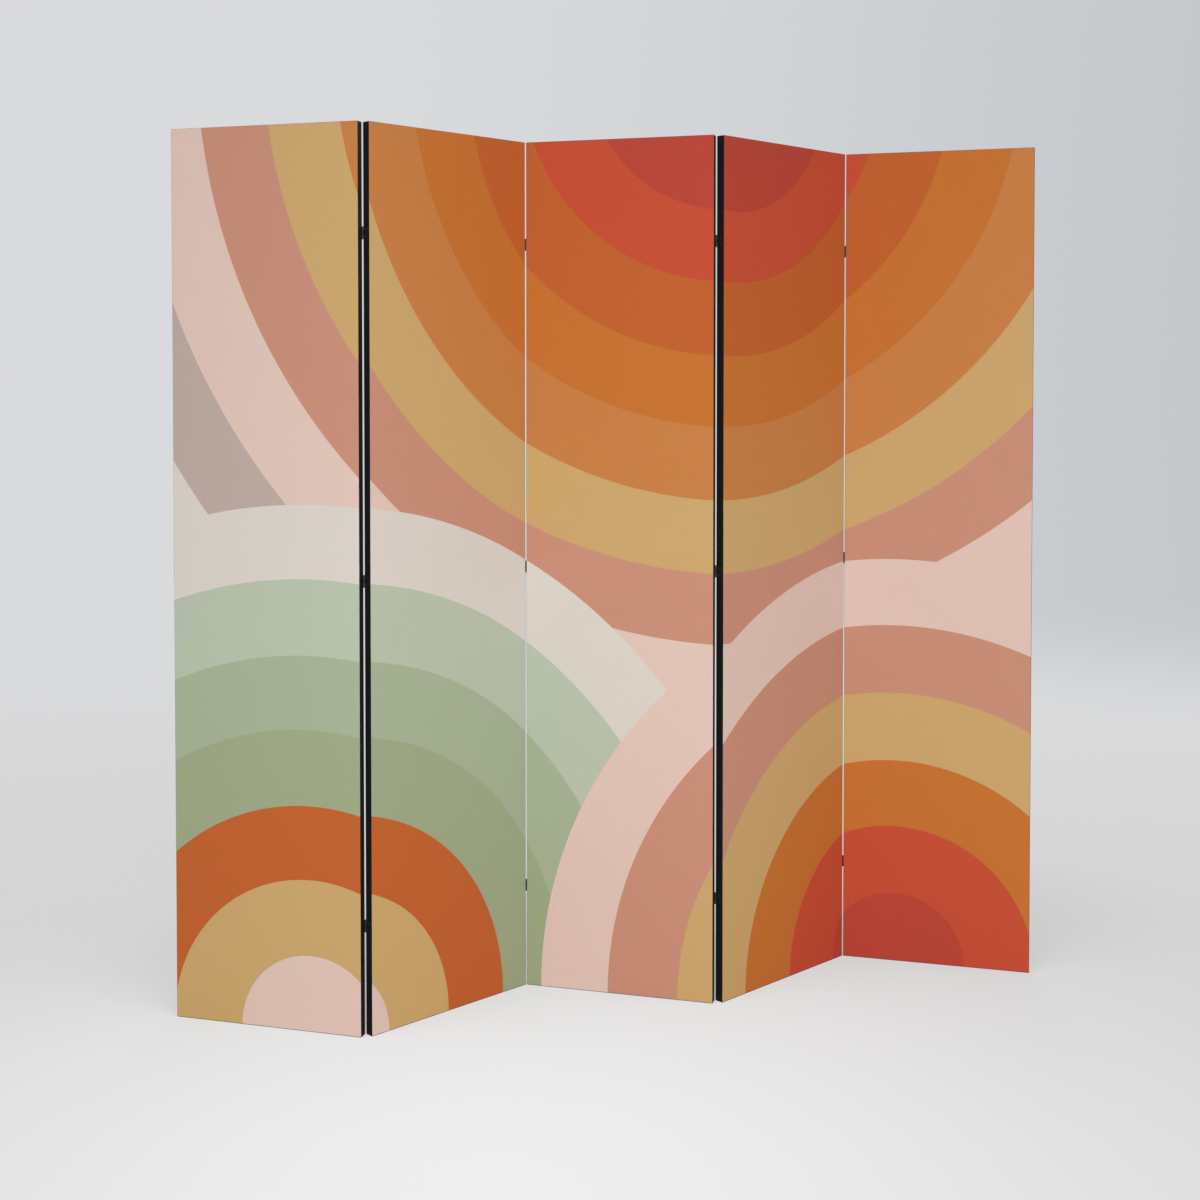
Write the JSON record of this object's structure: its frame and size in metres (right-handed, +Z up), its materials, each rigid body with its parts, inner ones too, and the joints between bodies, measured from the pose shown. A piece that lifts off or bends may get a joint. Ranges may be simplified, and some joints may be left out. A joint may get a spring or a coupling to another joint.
{
  "type": "room divider",
  "caption": "Folding room divider of tall printed canvas panels on wooden frames, hinged edge to edge and standing in a zigzag.",
  "frame": {"origin": "on the floor under the middle of the middle panel", "axes": "+X along the screen to the right seen from the front, -Y is the front, +Z is up"},
  "size_m": [1.8158, 0.2194, 1.8],
  "materials": {
    "canvas": "matte printed canvas",
    "edge_tape": "black woven cloth tape",
    "frame_wood": "planed pine",
    "hinge_steel": "black satin",
    "pin_steel": "black satin"
  },
  "bodies": {
    "panel_1": {"panel_1_left_stile": "frame_wood", "panel_1_right_stile": "frame_wood", "panel_1_bottom_rail": "frame_wood", "panel_1_cross_rail_1": "frame_wood", "panel_1_cross_rail_2": "frame_wood", "panel_1_top_rail": "frame_wood", "panel_1_front_canvas": "canvas", "panel_1_back_canvas": "canvas", "panel_1_edge_tape": "edge_tape", "joint_1_2_left_leaves": "hinge_steel", "joint_1_2_pins": "pin_steel"},
    "panel_2": {"panel_2_left_stile": "frame_wood", "panel_2_right_stile": "frame_wood", "panel_2_bottom_rail": "frame_wood", "panel_2_cross_rail_1": "frame_wood", "panel_2_cross_rail_2": "frame_wood", "panel_2_top_rail": "frame_wood", "panel_2_front_canvas": "canvas", "panel_2_back_canvas": "canvas", "panel_2_edge_tape": "edge_tape", "joint_1_2_right_leaves": "hinge_steel", "joint_2_3_left_leaves": "hinge_steel"},
    "panel_3": {"panel_3_left_stile": "frame_wood", "panel_3_right_stile": "frame_wood", "panel_3_bottom_rail": "frame_wood", "panel_3_cross_rail_1": "frame_wood", "panel_3_cross_rail_2": "frame_wood", "panel_3_top_rail": "frame_wood", "panel_3_front_canvas": "canvas", "panel_3_back_canvas": "canvas", "panel_3_edge_tape": "edge_tape", "joint_2_3_right_leaves": "hinge_steel", "joint_3_4_left_leaves": "hinge_steel", "joint_2_3_pins": "pin_steel", "joint_3_4_pins": "pin_steel"},
    "panel_4": {"panel_4_left_stile": "frame_wood", "panel_4_right_stile": "frame_wood", "panel_4_bottom_rail": "frame_wood", "panel_4_cross_rail_1": "frame_wood", "panel_4_cross_rail_2": "frame_wood", "panel_4_top_rail": "frame_wood", "panel_4_front_canvas": "canvas", "panel_4_back_canvas": "canvas", "panel_4_edge_tape": "edge_tape", "joint_3_4_right_leaves": "hinge_steel", "joint_4_5_left_leaves": "hinge_steel"},
    "panel_5": {"panel_5_left_stile": "frame_wood", "panel_5_right_stile": "frame_wood", "panel_5_bottom_rail": "frame_wood", "panel_5_cross_rail_1": "frame_wood", "panel_5_cross_rail_2": "frame_wood", "panel_5_top_rail": "frame_wood", "panel_5_front_canvas": "canvas", "panel_5_back_canvas": "canvas", "panel_5_edge_tape": "edge_tape", "joint_4_5_right_leaves": "hinge_steel", "joint_4_5_pins": "pin_steel"}
  },
  "joints": [
    {"name": "fold_2_3", "type": "hinge", "parent": "panel_3", "child": "panel_2", "pos_m": [-0.18184, 0.09344, 0.9], "axis": [0, 0, 1], "range_deg": [-60, 120]},
    {"name": "fold_1_2", "type": "hinge", "parent": "panel_2", "child": "panel_1", "pos_m": [-0.54553, -0.09344, 0.9], "axis": [0, 0, -1], "range_deg": [-60, 120]},
    {"name": "fold_3_4", "type": "hinge", "parent": "panel_3", "child": "panel_4", "pos_m": [0.18184, -0.09344, 0.9], "axis": [0, 0, 1], "range_deg": [-60, 120]},
    {"name": "fold_4_5", "type": "hinge", "parent": "panel_4", "child": "panel_5", "pos_m": [0.54553, 0.09344, 0.9], "axis": [0, 0, -1], "range_deg": [-60, 120]}
  ],
  "couplings": [
    {"joint": "fold_3_4", "follows": "fold_2_3", "ratio": 1}
  ]
}
